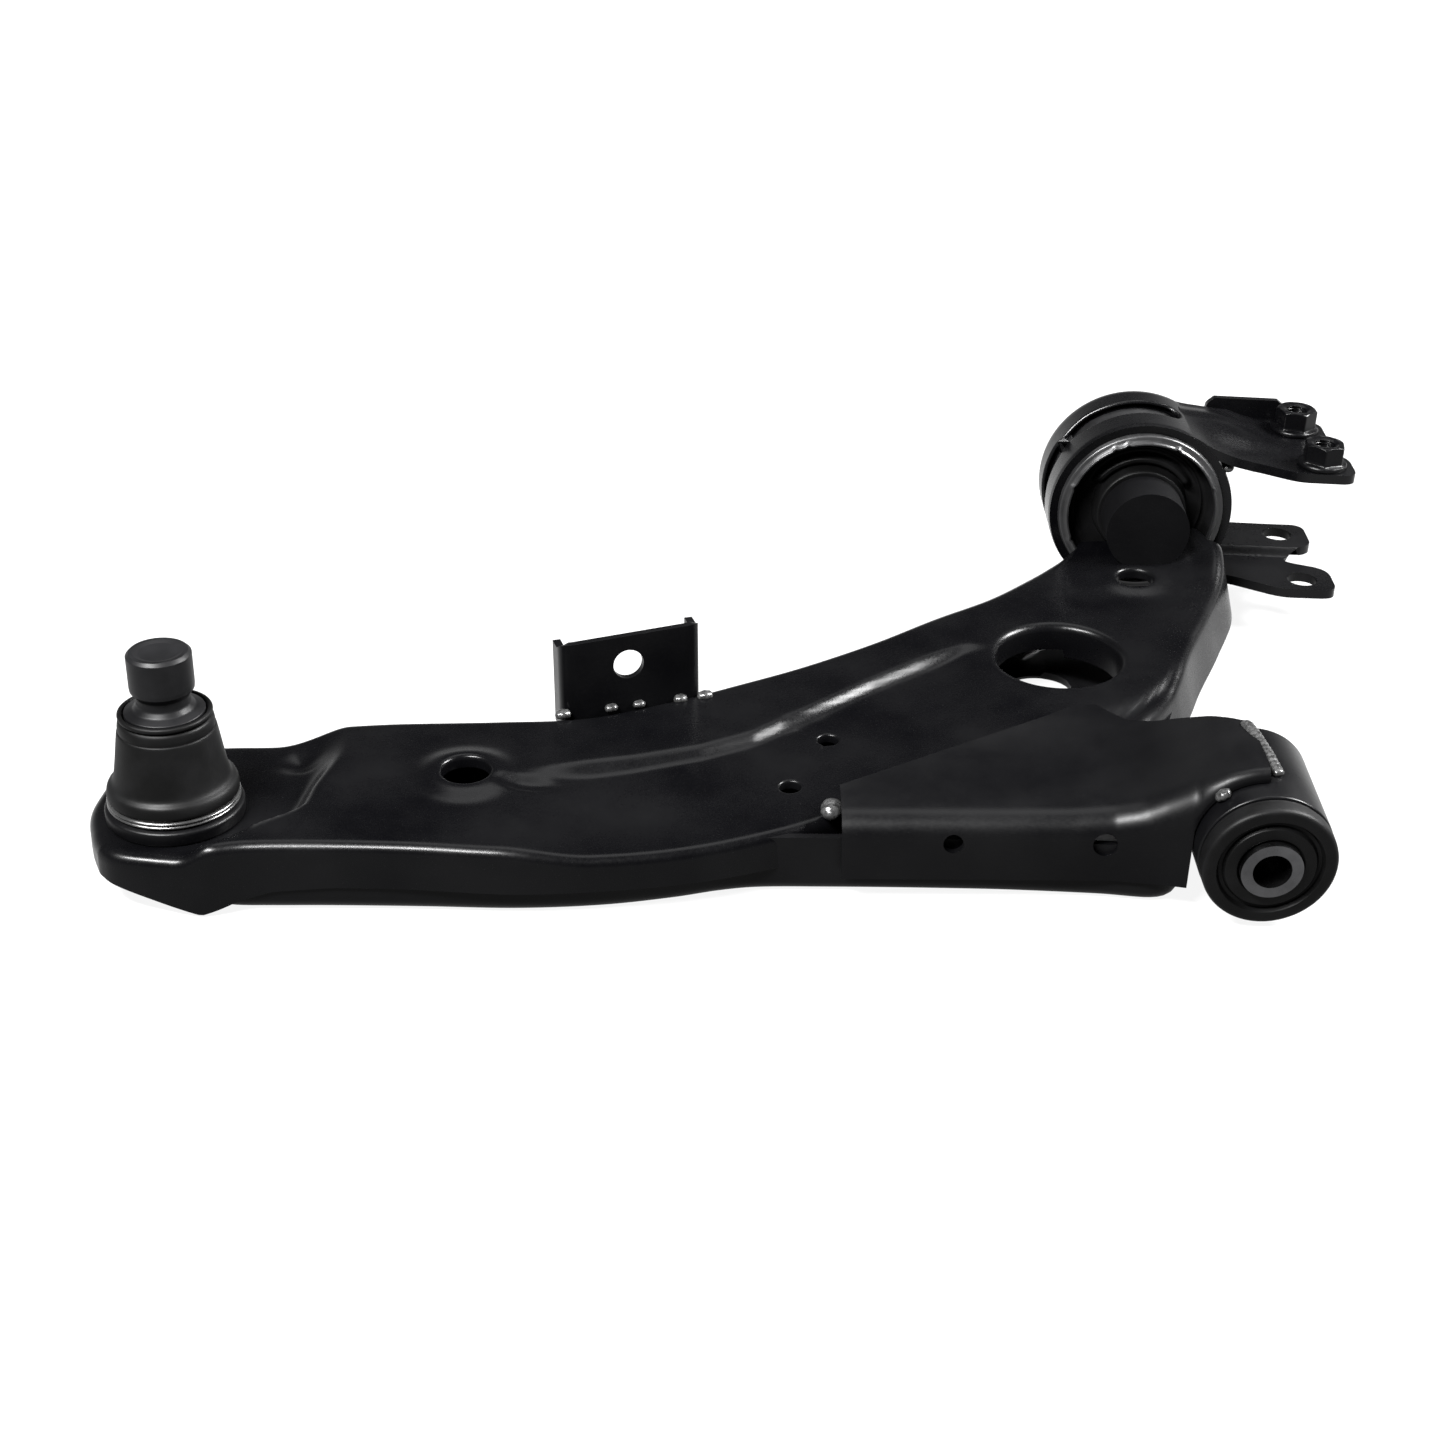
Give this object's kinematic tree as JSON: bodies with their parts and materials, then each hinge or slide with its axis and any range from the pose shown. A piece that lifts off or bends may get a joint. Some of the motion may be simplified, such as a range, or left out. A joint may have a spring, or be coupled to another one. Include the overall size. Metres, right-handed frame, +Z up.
{
  "type": "control arm",
  "caption": "Pressed-steel lower control arm for a car's front suspension, with a ball joint, a front bush and a rear bush in a bolt-on bracket.",
  "frame": {"origin": "centre of the front bush's bolt bore", "axes": "+X runs from the ball joint inboard, +Y from the front bush towards the rear bush, +Z up along the ball stud, as the arm lies on a bench"},
  "size_m": [0.455, 0.2818, 0.081],
  "materials": {
    "bare_steel": "brushed",
    "black_rubber": "matte",
    "black_steel": "satin",
    "dark_steel": "satin",
    "forged_black": "satin",
    "seat_plastic": "matte"
  },
  "bodies": {
    "arm": {"upper_shell": "black_steel", "lower_shell": "black_steel", "bush_carrier": "black_steel", "front_bush_housing": "black_steel", "front_bush_outer_ring": "dark_steel", "front_bush_rubber": "black_rubber", "ball_joint_housing": "forged_black", "ball_joint_cover": "forged_black", "boot_lower_ring": "dark_steel", "rear_spigot": "forged_black", "spigot_washer": "dark_steel", "rear_bush_inner_sleeve": "dark_steel", "link_bracket": "black_steel", "tube_weld": "black_steel", "carrier_welds": "black_steel", "link_bracket_welds": "black_steel"},
    "front_sleeve": {"front_bush_inner_sleeve": "bare_steel"},
    "stud_direction": {"ball_seat": "seat_plastic", "dust_boot": "black_rubber"},
    "stud_lean": {"boot_upper_ring": "dark_steel"},
    "stud": {"ball_stud": "dark_steel"},
    "rear_bracket": {"rear_bush_rubber": "black_rubber", "rear_bush_can": "dark_steel", "rear_band": "black_steel", "bracket_upper_plate": "black_steel", "bracket_lower_plate": "black_steel", "bracket_nuts": "forged_black", "bracket_welds": "black_steel"}
  },
  "joints": [
    {"name": "front_bush_twist", "type": "hinge", "parent": "arm", "child": "front_sleeve", "pos_m": [0, 0, 0], "axis": [-0.0377, 0.9958, 0.0834], "range_deg": [-25, 25], "stiffness_Nm_per_rad": 40},
    {"name": "rear_bush_twist", "type": "hinge", "parent": "arm", "child": "rear_bracket", "pos_m": [-0.0086, 0.227, 0.019], "axis": [0, 1, 0], "range_deg": [-22, 22], "stiffness_Nm_per_rad": 60},
    {"name": "stud_lean_direction", "type": "hinge", "parent": "arm", "child": "stud_direction", "pos_m": [-0.3533, 0.014, -0.011], "axis": [0, 0, 1], "continuous": true},
    {"name": "stud_tilt", "type": "hinge", "parent": "stud_direction", "child": "stud_lean", "pos_m": [-0.3533, 0.014, -0.011], "axis": [1, 0, 0], "range_deg": [-22, 22], "deforming": ["dust_boot"]},
    {"name": "stud_spin", "type": "hinge", "parent": "stud_lean", "child": "stud", "pos_m": [-0.3533, 0.014, -0.011], "axis": [0, 0, 1], "continuous": true}
  ]
}
